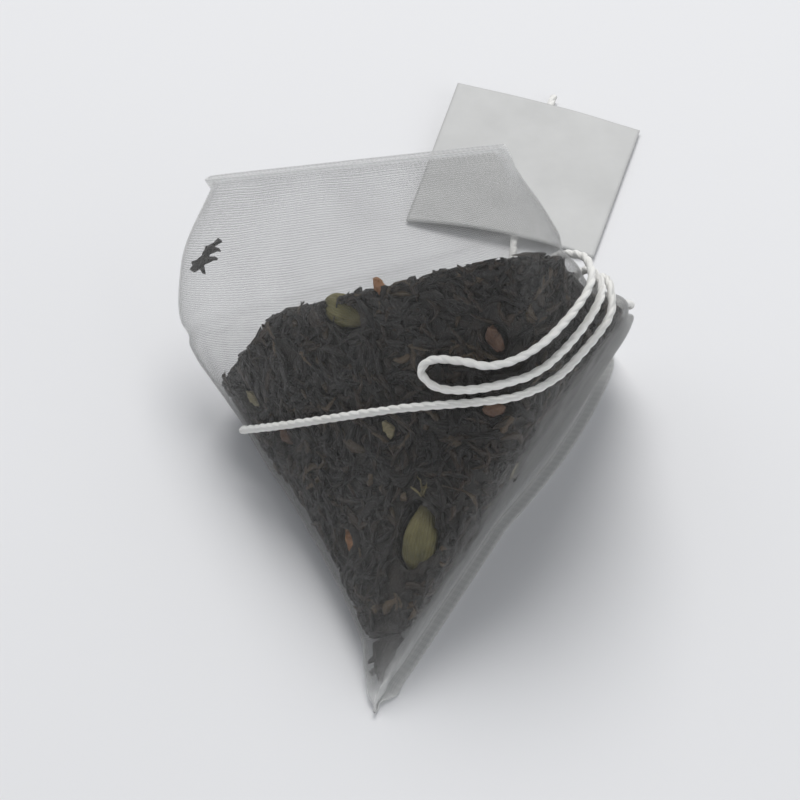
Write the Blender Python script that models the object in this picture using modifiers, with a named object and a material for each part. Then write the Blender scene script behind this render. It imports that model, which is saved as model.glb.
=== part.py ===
# A pyramid tea bag of sheer mesh, lying on its underside, with its filling, its string and its paper tag.
# The bag is a tube of film closed by two straight end welds at right angles to each other.
# Metres, +Z up. The origin is on the table, under the middle of the pouch.

import math
import random

import bmesh
import bpy
import numpy as np
from mathutils import Matrix, Vector, noise
from mathutils.bvhtree import BVHTree

MM = 0.001

# Driving dimensions
TUBE_WIDTH = 59 * MM         # the film tube pressed flat, about the length of each end weld
FILM_WALL = 0.15 * MM
WELD_WIDTH = 1.2 * MM        # the flat strip at each end weld
WELD_HEIGHT = 0.7 * MM       # both films at a weld, with the slit between them
CLEARANCE = 0.3 * MM         # between pieces that touch
TEA_INSET = 0.25 * MM        # how far the tea lies back from the film, past the clearance
TEA_LUMPS = 0.7 * MM         # how deep the hollows in the tea's surface are
LUMP_SIZE = 5.0 * MM
LUMP_LEAST = 0.2             # the share of its reach that a hollow leaves
STRING_DIAMETER = 0.9 * MM
TAG_SIDE = 22.0 * MM
TAG_THICKNESS = 0.3 * MM
TAG_ARCH = 1.2 * MM          # how far the tag's near edge arches over the string
TAG_CURL = 2.0 * MM          # how far its far corner curls up
TAG_FLATTENED = 0.4          # how much the curl takes out of the arch at the far edge
TAG_MIDDLE = (16.2 * MM, 80.6 * MM)
TAG_TURN = -16.0             # degrees

# The bag's four corners, from its tip on the table, in tube widths
TIP = (0.0, 0.0, 0.0)
REAR_CORNER = (0.446, 0.881, 0.0)
LOW_CORNER = (-0.324, 1.017, 0.327)
PEAK = (0.202, 0.441, 0.936)

# The line under the bag from the bottom weld's middle to the low corner, and the line on
# the other side from there to the peak: the share of the way, then the place
UNDER_LINE = [
    (0.18, (0.119, 0.525, 0.0)),
    (0.36, (-0.051, 0.644, 0.0)),
    (0.54, (-0.229, 0.737, 0.037)),
    (0.70, (-0.359, 0.785, 0.136)),
    (0.85, (-0.369, 0.898, 0.231)),
]
CREST_LINE = [
    (0.18, (0.278, 0.430, 0.205)),
    (0.36, (0.305, 0.395, 0.370)),
    (0.54, (0.298, 0.400, 0.525)),
    (0.70, (0.276, 0.417, 0.661)),
    (0.85, (0.244, 0.434, 0.805)),
]
FLAP_NORMAL = (0.69, 0.72, 0.056)    # across the two films at the top weld
FOOT = 0.35 * MM                      # film lower than this lies flat on the table
EDGE_BOW = 0.02                      # how far the bottom weld bows out near the rear corner
BOW_ENDS = 0.3
SWELL = 1.8 * MM                     # how far the tea pushes out the fold behind the string
SWELL_PLACE = (0.44, 0.15)           # the share of the way up and the share around
SWELL_SPREAD = (0.09, 0.055)

# How square the section's four quarters are: rear upper, front upper, front lower, rear lower
FULL_QUARTERS = (5.2, 2.3, 2.6, 3.0)
FLAP_QUARTERS = (5.2, 2.3, 1.35, 2.0)
WELD_QUARTERS = 8.0
WELD_REACH = 6               # the higher, the nearer the welds the section squares off
FLAP_STARTS, FLAP_ENDS = 0.40, 0.75

# The tea's top: a slope behind the peak and a second one at the empty corner
TEA_TOP = (0.095, 0.578, 0.477)
TEA_TOP_NORMAL = (-0.122, 0.779, 0.615)
TEA_SIDE = (-0.186, 0.644, 0.347)
TEA_SIDE_NORMAL = (-0.75, 0.50, 0.43)

AROUND = 48
RINGS = (0.0, 0.04, 0.08, 0.13, 0.19, 0.25, 0.31, 0.37, 0.43, 0.49, 0.55,
         0.61, 0.67, 0.73, 0.79, 0.85, 0.91, 0.96, 1.0)

# Contents against the film: the share of the way up, the share around, the turn in
# degrees, and length, width and thickness
POD_SIZE = (11.0 * MM, 5.2 * MM, 4.4 * MM)
PODS = {
    "cardamom_pod_front": (0.340, 0.435, -27.0, 0.82),
    "cardamom_pod_upper": (0.755, 0.473, 75.0, 0.72),
    "cardamom_pod_rear": (0.360, 0.960, 60.0, 1.0),
}
CHIPS = {
    "peel_chip_lower": (0.359, 0.526, 20.0, (3.6, 2.8, 1.6), "peel"),
    "root_chip_lower": (0.170, 0.362, 40.0, (4.2, 3.2, 1.6), "root"),
    "root_chip_upper": (0.625, 0.308, 10.0, (4.4, 2.4, 1.6), "root"),
    "root_chip_middle": (0.480, 0.325, 70.0, (3.4, 2.4, 1.6), "root"),
    "hull_chip_side": (0.610, 0.635, 30.0, (3.2, 2.6, 1.6), "hull"),
    "peel_chip_upper": (0.786, 0.430, 50.0, (3.0, 2.2, 1.4), "peel"),
    "hull_chip": (0.531, 0.443, 30.0, (3.2, 2.0, 1.2), "hull"),
    "husk_curl": (0.245, 0.300, 15.0, (5.6, 3.0, 1.2), "hull"),
    "root_chip_left": (0.545, 0.594, 30.0, (3.4, 2.6, 1.4), "root"),
    "peel_chip_rear": (0.520, 0.020, 60.0, (3.6, 2.8, 1.6), "peel"),
}
LEAVES = {
    "tea_leaf_tip": (0.101, 0.489, -21.0, (6.2, 2.6, 0.4)),
    "tea_leaf_corner": (0.870, 0.708, -45.0, (5.6, 3.2, 0.4)),
}
CHIP_STRAY = 0.30            # how far a chip's corners stray inward
POD_LOBES = 3
POD_RIDGE = 0.07
POD_BEAK = 0.35              # how much thinner the pod's beak is
SEATING_STEPS = 16
ASIDE_STEP = 0.005           # the share of the way that a chip too near another one moves down
ASIDE_STEPS = 30
UPWARD_STEP = 0.01           # the share of the way over which the film's direction is taken
CURVE_SAMPLES = 240          # on each quarter of the section
WIDTH_STEPS = 30             # halvings in finding a section's width
LEAST_HALF = 0.05 * MM       # the smallest half width of an inset section
FACET_ROOM = 0.1 * MM        # for the flats between the film's own points

# The string's route in millimetres from the tip: from its weld on the left fold across the
# front, over the right fold and back, round a loop on the front, then down the rear and
# along the table to the tag
STRING_ROUTE = [
    (-14.8, 33.3, 7.7), (-9.7, 27.8, 14.3), (2.0, 20.7, 24.1), (10.2, 18.3, 27.6),
    (13.8, 18.7, 28.0), (17.4, 21.2, 27.8), (20.5, 25.2, 27.8), (23.3, 29.1, 29.3),
    (23.2, 32.4, 30.5), (22.1, 35.8, 27.8), (22.6, 39.4, 22.4), (24.5, 43.1, 17.1),
    (26.2, 45.3, 14.7), (26.6, 47.3, 12.4), (25.2, 48.4, 11.1), (23.4, 47.4, 11.9),
    (22.3, 44.8, 15.1), (20.9, 41.2, 19.7), (20.0, 36.4, 27.4),
    (21.4, 33.3, 31.4), (22.4, 30.2, 31.9), (21.3, 27.0, 31.3), (18.5, 23.0, 30.4),
    (15.5, 20.2, 29.8), (11.6, 18.9, 29.3), (8.0, 19.2, 28.3), (5.4, 20.4, 27.6),
    (4.0, 21.5, 28.5), (4.9, 21.8, 29.9), (7.6, 20.8, 30.9), (11.2, 19.7, 31.3),
    (15.0, 20.7, 32.3), (18.6, 24.1, 33.4), (21.1, 28.0, 34.8), (20.6, 31.4, 35.0),
    (17.8, 34.8, 31.8), (16.6, 39.9, 22.2), (17.3, 46.0, 12.9), (17.4, 51.6, 5.2),
    (16.4, 56.4, 1.3), (14.6, 63.5, 0.75), (16.2, 80.6, 0.75), (19.9, 93.8, 0.75),
]
STRING_POINTS = 78

COLORS = {
    "mesh": ((0.86, 0.87, 0.87), 0.45),
    "tea": ((0.045, 0.03, 0.022), 0.8),
    "pod": ((0.42, 0.42, 0.16), 0.6),
    "peel": ((0.62, 0.30, 0.10), 0.65),
    "root": ((0.36, 0.19, 0.11), 0.75),
    "hull": ((0.66, 0.58, 0.34), 0.7),
    "leaf": ((0.07, 0.05, 0.035), 0.7),
    "cotton": ((0.90, 0.89, 0.85), 0.9),
    "paper": ((0.88, 0.88, 0.86), 0.85),
}


def clear_scene():
    for obj in list(bpy.data.objects):
        bpy.data.objects.remove(obj, do_unlink=True)


def new_collection(name):
    found = bpy.data.collections.new(name)
    bpy.context.scene.collection.children.link(found)
    return found


def make_material(name):
    color, roughness = COLORS[name]
    material = bpy.data.materials.new(name)
    material.use_nodes = True
    shader = material.node_tree.nodes["Principled BSDF"]
    shader.inputs["Base Color"].default_value = (*color, 1.0)
    shader.inputs["Roughness"].default_value = roughness
    shader.inputs["Metallic"].default_value = 0.0
    material.diffuse_color = (*color, 1.0)
    return material


def add_object(name, bm, material, collection, parent=None):
    mesh = bpy.data.meshes.new(name)
    bm.to_mesh(mesh)
    bm.free()
    mesh.shade_smooth()
    obj = bpy.data.objects.new(name, mesh)
    if material is not None:
        mesh.materials.append(material)
    collection.objects.link(obj)
    obj.parent = parent
    return obj


def place(share):
    """A place given in tube widths, in metres."""
    return Vector(share) * TUBE_WIDTH


def mix(low, high, share):
    return low + (high - low) * share


def weld_inward():
    """Across the bottom weld, level, from its edge to the bag's inside."""
    along = place(REAR_CORNER) - place(TIP)
    return Vector((-along.y, along.x, 0)).normalized()


def weld_upward():
    """Across the top weld, from the bag's inside to the weld's edge."""
    along = (place(PEAK) - place(LOW_CORNER)).normalized()
    return along.cross(Vector(FLAP_NORMAL)).normalized()


def line_stations(stations, far_end):
    """The stations with the two welds' middles at their ends."""
    lift = Vector((0, 0, WELD_HEIGHT / 2))
    start = (place(TIP) + place(REAR_CORNER)) / 2 + weld_inward() * WELD_WIDTH + lift
    end = far_end - weld_upward() * WELD_WIDTH
    return [(0.0, start)] + [(share, place(at)) for share, at in stations] + [(1.0, end)]


def smooth_line(stations, share):
    """A point on the smooth curve through the stations."""
    shares = [at for at, _ in stations]
    points = [point for _, point in stations]
    last = len(points) - 1
    i = max((j for j in range(last) if shares[j] <= share), default=0)

    def slope(j):
        low, high = max(j - 1, 0), min(j + 1, last)
        return (points[high] - points[low]) / (shares[high] - shares[low])

    span = shares[i + 1] - shares[i]
    s = (share - shares[i]) / span
    return (
        (2 * s**3 - 3 * s**2 + 1) * points[i]
        + (s**3 - 2 * s**2 + s) * span * slope(i)
        + (3 * s**2 - 2 * s**3) * points[i + 1]
        + (s**3 - s**2) * span * slope(i + 1)
    )


def quarter(half_across, half_along, power, steps):
    """Points on a quarter of the section, evenly spaced along it, and its length."""
    turn = np.linspace(0, math.pi / 2, CURVE_SAMPLES)
    x = half_across * np.cos(turn).clip(0) ** (2 / power)
    y = half_along * np.sin(turn).clip(0) ** (2 / power)
    run = np.concatenate([[0], np.cumsum(np.hypot(np.diff(x), np.diff(y)))])
    at = np.linspace(0, run[-1], steps + 1)
    return np.interp(at, run, x), np.interp(at, run, y), run[-1]


def section(half_across, half_along, powers, count):
    """The closed section's points and its girth."""
    signs = ((1, 1), (-1, 1), (-1, -1), (1, -1))
    points, girth = [], 0.0
    for i, (power, (sx, sy)) in enumerate(zip(powers, signs)):
        x, y, length = quarter(half_across, half_along, power, count // 4)
        girth += length
        pairs = list(zip(sx * x, sy * y))
        points += (pairs if i % 2 == 0 else pairs[::-1])[:-1]
    return points, girth


def half_across_for(half_along, powers):
    """The half width that gives the section the tube's girth."""
    low, high = WELD_HEIGHT / 2, TUBE_WIDTH / 2
    for _ in range(WIDTH_STEPS):
        middle = (low + high) / 2
        if section(middle, half_along, powers, AROUND)[1] > 2 * TUBE_WIDTH:
            high = middle
        else:
            low = middle
    return low


def powers_at(share):
    flap = min(max((share - FLAP_STARTS) / (FLAP_ENDS - FLAP_STARTS), 0), 1)
    flap = flap * flap * (3 - 2 * flap)
    end = abs(2 * share - 1) ** WELD_REACH
    full = [mix(a, b, flap) for a, b in zip(FULL_QUARTERS, FLAP_QUARTERS)]
    return [mix(power, WELD_QUARTERS, end) for power in full]


def ring(share, inset=0.0, count=AROUND):
    """The pouch's section at this share of the way from the bottom weld to the top one."""
    under = smooth_line(line_stations(UNDER_LINE, place(LOW_CORNER)), share)
    crest = smooth_line(line_stations(CREST_LINE, place(PEAK)), share)
    seal = (place(REAR_CORNER) - place(TIP)).normalized()
    across = mix(seal, Vector(FLAP_NORMAL).normalized(), share).normalized()
    if share == 0:
        along, half_along = Vector((0, 0, 1)), WELD_HEIGHT / 2
    elif share == 1:
        top_weld = place(PEAK) - place(LOW_CORNER)
        under, crest = [(place(LOW_CORNER) + place(PEAK) + sign * top_weld) / 2 for sign in (-1, 1)]
        drop = weld_upward() * WELD_WIDTH
        under, crest = under - drop, crest - drop
        along, half_along = top_weld.normalized(), top_weld.length / 2
    else:
        along = (crest - under).normalized()
        half_along = max((crest - under).length / 2, WELD_HEIGHT / 2)
    powers = powers_at(share)
    half_across = half_across_for(half_along, powers)
    if share == 0:
        half_across = (place(REAR_CORNER) - place(TIP)).length / 2
    sides = [max(half - inset, LEAST_HALF) for half in (half_across, half_along)]
    points, _ = section(*sides, powers, count)
    middle = (under + crest) / 2
    swell = SWELL * math.exp(-(((share - SWELL_PLACE[0]) / SWELL_SPREAD[0]) ** 2))
    bow = max(1 - share / BOW_ENDS, 0) ** 2 * EDGE_BOW * TUBE_WIDTH
    foot = FOOT if share > 0 else 0.0
    ring_points = []
    for i, (x, y) in enumerate(points):
        wave = max(0.0, -math.sin(math.pi * (x / half_across + 1)))
        point = middle + across * x + along * y - weld_inward() * bow * wave
        push = swell * math.exp(-(((i / count - SWELL_PLACE[1]) / SWELL_SPREAD[1]) ** 2))
        point += (point - middle).normalized() * push
        point.z = point.z if point.z > inset + foot else inset
        ring_points.append(point)
    return ring_points


def film_place(share, around, depth):
    """A point inside the film, with the film's outward normal and its direction upwards."""
    here, above, below = ring(share), ring(share + UPWARD_STEP), ring(share - UPWARD_STEP)
    at = around * AROUND
    i, part = int(at) % AROUND, at - int(at)

    def on(points):
        return mix(points[i], points[(i + 1) % AROUND], part)

    sideways = here[(i + 2) % AROUND] - here[i - 1]
    upward = (on(above) - on(below)).normalized()
    normal = upward.cross(sideways).normalized()
    if normal.dot(on(here) - sum(here, Vector()) / AROUND) < 0:
        normal.negate()
    return on(here) - normal * depth, normal, upward


def add_rings(bm, rings):
    """A tube of faces through the rings."""
    loops = [[bm.verts.new(point) for point in points] for points in rings]
    for low, high in zip(loops, loops[1:]):
        for i in range(len(low)):
            j = (i + 1) % len(low)
            bm.faces.new((low[i], low[j], high[j], high[i]))
    return loops


def close_end(bm, loop, start, vent=False):
    """Joins the two films across a flat end. start is the loop's index at one corner."""
    count = len(loop)
    turned = [loop[(start + i) % count] for i in range(count)]
    bm.faces.new((turned[0], turned[1], turned[-1]))
    half = count // 2
    bm.faces.new((turned[half], turned[half + 1], turned[half - 1]))
    for i in range(1, half - 1):
        if not (vent and i == half // 2):
            bm.faces.new((turned[i], turned[i + 1], turned[-i - 1], turned[-i]))


def pouch_rings():
    rings = [ring(share) for share in RINGS]
    first = [point - weld_inward() * WELD_WIDTH for point in rings[0]]
    last = [point + weld_upward() * WELD_WIDTH for point in rings[-1]]
    return [first] + rings + [last]


def pouch_surface():
    """The film's outer side, with a slit in the middle of the bottom weld, so nothing is sealed."""
    bm = bmesh.new()
    loops = add_rings(bm, pouch_rings())
    close_end(bm, loops[0], 0, vent=True)
    close_end(bm, loops[-1], AROUND // 4)
    bmesh.ops.recalc_face_normals(bm, faces=bm.faces)
    return bm


def make_pouch(collection, parent):
    """One film."""
    bm = pouch_surface()
    pouch = add_object("mesh_pouch", bm, make_material("mesh"), collection, parent)
    wall = pouch.modifiers.new("film_wall", "SOLIDIFY")
    wall.thickness = FILM_WALL
    wall.offset = -1.0
    return pouch


def make_tea(collection, cutters, parent):
    """The pressed mass of leaves, a little back from the film, cut off at its two slopes."""
    seed = Vector((3.1, 7.7, 1.3))
    around = AROUND * 2 // 3
    rings = []
    for share in RINGS[3:-3]:
        inset = FILM_WALL + CLEARANCE + TEA_INSET
        full = ring(share, inset, around)
        middle = sum(full, Vector()) / around
        lumpy = []
        for point in full:
            depth = (noise.noise(point / LUMP_SIZE + seed) + 1) / 2 * TEA_LUMPS
            reach = (point - middle).length
            moved = middle + (point - middle) * max(1 - depth / max(reach, TEA_LUMPS), LUMP_LEAST)
            moved.z = max(moved.z, inset)
            lumpy.append(moved)
        rings.append(lumpy)
    bm = bmesh.new()
    loops = add_rings(bm, rings)
    bm.faces.new(loops[0])
    bm.faces.new(loops[-1])
    for spot, normal in ((TEA_TOP, TEA_TOP_NORMAL), (TEA_SIDE, TEA_SIDE_NORMAL)):
        geometry = list(bm.verts) + list(bm.edges) + list(bm.faces)
        bmesh.ops.bisect_plane(
            bm, geom=geometry, plane_co=place(spot), plane_no=Vector(normal), clear_outer=True
        )
        rim = [edge for edge in bm.edges if edge.is_boundary]
        bmesh.ops.holes_fill(bm, edges=rim, sides=0)
    bmesh.ops.triangulate(bm, faces=[face for face in bm.faces if len(face.verts) > 4])
    bmesh.ops.recalc_face_normals(bm, faces=bm.faces)
    tea = add_object("tea_fill", bm, make_material("tea"), collection, parent)
    pockets = tea.modifiers.new("pockets", "BOOLEAN")
    pockets.operation = "DIFFERENCE"
    pockets.operand_type = "COLLECTION"
    pockets.collection = cutters
    return tea


def tightest(film, bm):
    """How far the shape's outermost point lies inside the film, and the film's normal there."""
    rooms = []
    for vert in bm.verts:
        nearest, normal, _, _ = film.find_nearest(vert.co)
        rooms.append(((nearest - vert.co).dot(normal), normal))
    return min(rooms, key=lambda room: room[0])


def seat(bm, film, size, share, around, turn):
    """Puts a unit shape, long in X and thin in Z, against the film's inside. Gives its frame."""
    depth = FILM_WALL + CLEARANCE + size[2] / 2
    point, normal, upward = film_place(share, around, depth)
    sideways = normal.cross(upward).normalized()
    upward = sideways.cross(normal)
    frame = Matrix((upward, sideways, normal)).transposed().to_4x4()
    frame = Matrix.Translation(point) @ frame @ Matrix.Rotation(math.radians(turn), 4, "Z")
    bmesh.ops.transform(bm, matrix=frame @ Matrix.Diagonal((*size, 1)), verts=bm.verts)
    for _ in range(SEATING_STEPS):
        room, outward = tightest(film, bm)
        short = FILM_WALL + CLEARANCE + FACET_ROOM - room
        if short > 0:
            move = -outward * short
            bmesh.ops.translate(bm, vec=move, verts=bm.verts)
            frame = Matrix.Translation(move) @ frame
    return frame


def pod_shape():
    """A ridged seed pod, blunt at its stalk and drawn out to a beak."""
    bm = bmesh.new()
    bmesh.ops.create_uvsphere(bm, u_segments=18, v_segments=10, radius=0.5)
    for vert in bm.verts:
        x, y, z = vert.co
        angle = math.atan2(y, x)
        ridge = 1 - POD_RIDGE * (1 + math.cos(POD_LOBES * angle)) / 2
        beak = 1 - POD_BEAK * max(z, 0) * 2 * abs(z)
        vert.co = Vector((z, x * ridge * beak, y * ridge * beak))
    return bm


def chip_shape(name):
    """A rough chip: a ball with stray corners."""
    rng = random.Random(name)
    bm = bmesh.new()
    bmesh.ops.create_icosphere(bm, subdivisions=1, radius=0.5)
    for vert in bm.verts:
        vert.co *= 1 - CHIP_STRAY * rng.random()
    return bm


def leaf_shape():
    """A flat leaf with blunt ends."""
    bm = bmesh.new()
    bmesh.ops.create_cone(bm, cap_ends=True, segments=10, radius1=0.5, radius2=0.5, depth=1.0)
    return bm


def clear_of(shape, frame, room, placed):
    """Whether the shape, with this room about it, meets none of the contents placed before."""
    bm = shape.copy()
    bmesh.ops.transform(bm, matrix=frame @ room, verts=bm.verts)
    tree = BVHTree.FromBMesh(bm)
    bm.free()
    return not any(tree.overlap(other) for other in placed)


def add_content(name, shape, size, share, around, turn, material, groups, parent):
    """Seats one piece, lower down where it would come too near another, and cuts its pocket."""
    collection, cutters, film, placed = groups
    room = Matrix.Diagonal((*(side + 2 * CLEARANCE for side in size), 1))
    for step in range(ASIDE_STEPS):
        bm = shape.copy()
        frame = seat(bm, film, size, share - step * ASIDE_STEP, around, turn)
        if clear_of(shape, frame, room, placed):
            break
    placed.append(BVHTree.FromBMesh(bm))
    bmesh.ops.recalc_face_normals(bm, faces=bm.faces)
    add_object(name, bm, material, collection, parent)
    bmesh.ops.transform(shape, matrix=frame @ room, verts=shape.verts)
    bmesh.ops.recalc_face_normals(shape, faces=shape.faces)
    cutter = add_object(name + "_pocket", shape, None, cutters, parent)
    cutter.hide_render = True
    cutter.display_type = "WIRE"


def make_contents(groups, parent):
    pod_material = make_material("pod")
    for name, (share, around, turn, scale) in PODS.items():
        size = tuple(side * scale for side in POD_SIZE)
        add_content(name, pod_shape(), size, share, around, turn, pod_material, groups, parent)
    kinds = {kind: make_material(kind) for kind in ("peel", "root", "hull")}
    for name, (share, around, turn, sides, kind) in CHIPS.items():
        size = tuple(side * MM for side in sides)
        add_content(name, chip_shape(name), size, share, around, turn, kinds[kind], groups, parent)
    leaf_material = make_material("leaf")
    for name, (share, around, turn, sides) in LEAVES.items():
        size = tuple(side * MM for side in sides)
        add_content(name, leaf_shape(), size, share, around, turn, leaf_material, groups, parent)


def make_string(collection, parent):
    route = [Vector(point) * MM for point in STRING_ROUTE]
    run = [0.0]
    for low, high in zip(route, route[1:]):
        run.append(run[-1] + (high - low).length)
    stations = list(zip(run, route))
    curve = bpy.data.curves.new("string", "CURVE")
    curve.dimensions = "3D"
    spline = curve.splines.new("POLY")
    spline.points.add(STRING_POINTS - 1)
    for i in range(STRING_POINTS):
        point = smooth_line(stations, run[-1] * i / (STRING_POINTS - 1))
        spline.points[i].co = (*point, 1)
    curve.bevel_depth = STRING_DIAMETER / 2
    curve.bevel_resolution = 2
    curve.use_fill_caps = True
    curve.materials.append(make_material("cotton"))
    string = bpy.data.objects.new("string", curve)
    collection.objects.link(string)
    string.parent = parent
    return string


def make_tag(collection, parent):
    """The square tag, arched a little over the string, with one far corner curled up."""
    bm = bmesh.new()
    bmesh.ops.create_grid(bm, x_segments=8, y_segments=4, size=TAG_SIDE / 2)
    for vert in bm.verts:
        left, far = 0.5 - vert.co.x / TAG_SIDE, 0.5 + vert.co.y / TAG_SIDE
        arch = (1 - (2 * left - 1) ** 2) * (TAG_ARCH - far * TAG_CURL * TAG_FLATTENED)
        vert.co.z = TAG_THICKNESS + CLEARANCE + arch + left * far * TAG_CURL
    turn = Matrix.Rotation(math.radians(TAG_TURN), 4, "Z")
    bmesh.ops.transform(bm, matrix=Matrix.Translation((*TAG_MIDDLE, 0)) @ turn, verts=bm.verts)
    bmesh.ops.recalc_face_normals(bm, faces=bm.faces)
    tag = add_object("tag", bm, make_material("paper"), collection, parent)
    card = tag.modifiers.new("card", "SOLIDIFY")
    card.thickness = TAG_THICKNESS
    card.offset = -1.0
    return tag


def main():
    clear_scene()
    parts = new_collection("pyramid_tea_bag")
    cutters = new_collection("cutters")
    corners = [point for points in pouch_rings() for point in points]
    low = [min(point[i] for point in corners) for i in range(3)]
    high = [max(point[i] for point in corners) for i in range(3)]
    stand = bpy.data.objects.new("stand", None)
    stand.location = (-(low[0] + high[0]) / 2, -(low[1] + high[1]) / 2, -low[2])
    parts.objects.link(stand)
    make_pouch(parts, stand)
    film = BVHTree.FromBMesh(pouch_surface())
    make_contents((parts, cutters, film, []), stand)
    make_tea(parts, cutters, stand)
    make_string(parts, stand)
    make_tag(parts, stand)
    bpy.context.view_layer.update()


main()
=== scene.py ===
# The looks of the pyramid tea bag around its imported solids: the film, the tea and spices inside it,
# the string and the tag, with a floor, lights and a camera
import math

import bmesh
import bpy
import numpy as np
from mathutils import Matrix, Vector, noise
from mathutils.bvhtree import BVHTree


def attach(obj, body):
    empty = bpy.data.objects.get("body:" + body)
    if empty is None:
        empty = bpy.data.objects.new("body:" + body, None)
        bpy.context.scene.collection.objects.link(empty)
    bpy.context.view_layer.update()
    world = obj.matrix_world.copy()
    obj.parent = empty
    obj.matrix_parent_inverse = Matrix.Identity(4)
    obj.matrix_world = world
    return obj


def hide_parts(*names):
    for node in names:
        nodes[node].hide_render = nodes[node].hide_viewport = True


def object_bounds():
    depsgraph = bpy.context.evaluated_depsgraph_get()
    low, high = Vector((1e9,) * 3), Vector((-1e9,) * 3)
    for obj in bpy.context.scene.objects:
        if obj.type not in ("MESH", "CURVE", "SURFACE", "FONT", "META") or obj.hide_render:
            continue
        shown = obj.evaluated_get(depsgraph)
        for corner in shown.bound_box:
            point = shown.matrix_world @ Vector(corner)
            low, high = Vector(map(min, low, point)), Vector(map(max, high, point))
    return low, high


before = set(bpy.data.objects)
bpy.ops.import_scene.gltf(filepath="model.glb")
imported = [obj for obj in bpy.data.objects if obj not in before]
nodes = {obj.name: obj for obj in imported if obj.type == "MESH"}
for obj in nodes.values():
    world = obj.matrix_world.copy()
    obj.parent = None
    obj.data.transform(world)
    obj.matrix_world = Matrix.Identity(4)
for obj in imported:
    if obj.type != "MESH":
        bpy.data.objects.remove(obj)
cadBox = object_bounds()
mm = 0.001


def say(stage):
    print("scene:", stage, flush=True)


# The film's shape: the same sections as the solid's, in the same numbers. Places are shares of the
# tube's width, counted from the bag's tip
film = {
    "tube": 59 * mm,
    "wall": 0.12 * mm,
    "weld": 1.2 * mm,
    "weldHeight": 0.7 * mm,    # the solid's, which places the part
    "filmWeldHeight": 0.3 * mm,
    "tip": (0.0, 0.0, 0.0),
    "rear": (0.446, 0.881, 0.0),
    "low": (-0.324, 1.017, 0.327),
    "peak": (0.202, 0.441, 0.936),
    "under": [
        (0.18, (0.119, 0.525, 0.0)),
        (0.36, (-0.051, 0.644, 0.0)),
        (0.54, (-0.229, 0.737, 0.037)),
        (0.70, (-0.359, 0.785, 0.136)),
        (0.85, (-0.369, 0.898, 0.231)),
    ],
    "crest": [
        (0.18, (0.278, 0.430, 0.205)),
        (0.36, (0.305, 0.395, 0.370)),
        (0.54, (0.298, 0.400, 0.525)),
        (0.70, (0.276, 0.417, 0.661)),
        (0.85, (0.244, 0.434, 0.805)),
    ],
    "flapNormal": (0.69, 0.72, 0.056),
    "bow": 0.02,
    "bowEnds": 0.3,
    "swell": 1.8 * mm,
    "swellPlace": (0.44, 0.15),
    "swellSpread": (0.09, 0.055),
    "quarterSteps": 240,
    "girthPoints": 48,
    "girthTries": 24,
    "fullQuarters": (5.2, 2.3, 2.6, 3.0),
    "flapQuarters": (5.2, 2.3, 1.35, 2.0),
    "weldQuarters": 8.0,
    "flapStarts": 0.40,
    "flapEnds": 0.75,
    "finEnds": 22,
    "crumple": 0.9 * mm,
    "crumpleReach": 5.0 * mm,
    "around": 240,
    "rings": 132,
    "ringsNearEnds": 0.055,
    "finRings": 4,
    "partShares": (0.0, 0.04, 0.08, 0.13, 0.19, 0.25, 0.31, 0.37, 0.43, 0.49, 0.55,
                   0.61, 0.67, 0.73, 0.79, 0.85, 0.91, 0.96, 1.0),
}


def place(share):
    return np.array(share) * film["tube"]


def unit(vector):
    return vector / np.linalg.norm(vector)


def unitRows(rows):
    return rows / np.linalg.norm(rows, axis=1)[:, None]


sealAlong = unit(place(film["rear"]) - place(film["tip"]))
weldInward = np.array([-sealAlong[1], sealAlong[0], 0.0])
topAlong = unit(place(film["peak"]) - place(film["low"]))
weldUpward = unit(np.cross(topAlong, np.array(film["flapNormal"])))


def smoothLine(stations, share):
    shares = [at for at, _ in stations]
    points = [np.array(point) for _, point in stations]
    last = len(points) - 1
    i = max((j for j in range(last) if shares[j] <= share), default=0)

    def slope(j):
        low, high = max(j - 1, 0), min(j + 1, last)
        return (points[high] - points[low]) / (shares[high] - shares[low])

    span = shares[i + 1] - shares[i]
    s = (share - shares[i]) / span
    return (
        (2 * s**3 - 3 * s**2 + 1) * points[i]
        + (s**3 - 2 * s**2 + s) * span * slope(i)
        + (3 * s**2 - 2 * s**3) * points[i + 1]
        + (s**3 - s**2) * span * slope(i + 1)
    )


def lineStations(stations, farEnd):
    middle = (place(film["tip"]) + place(film["rear"])) / 2
    start = middle + weldInward * film["weld"] + np.array([0, 0, film["weldHeight"] / 2])
    end = farEnd - weldUpward * film["weld"]
    return [(0.0, start)] + [(share, place(at)) for share, at in stations] + [(1.0, end)]


# The section's points, each quarter evenly spaced, and the girth
def sectionOf(halfAcross, halfAlong, powers, count):
    turn = np.linspace(0, math.pi / 2, film["quarterSteps"])
    cosines, sines = np.cos(turn).clip(0), np.sin(turn).clip(0)
    points, girth = [], 0.0
    for i, (power, (sx, sy)) in enumerate(zip(powers, ((1, 1), (-1, 1), (-1, -1), (1, -1)))):
        x, y = halfAcross * cosines ** (2 / power), halfAlong * sines ** (2 / power)
        run = np.concatenate([[0], np.cumsum(np.hypot(np.diff(x), np.diff(y)))])
        girth += run[-1]
        at = np.linspace(0, run[-1], count // 4 + 1)
        pairs = np.stack([sx * np.interp(at, run, x), sy * np.interp(at, run, y)], axis=1)
        points.append((pairs if i % 2 == 0 else pairs[::-1])[:-1])
    return np.concatenate(points), girth


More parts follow.
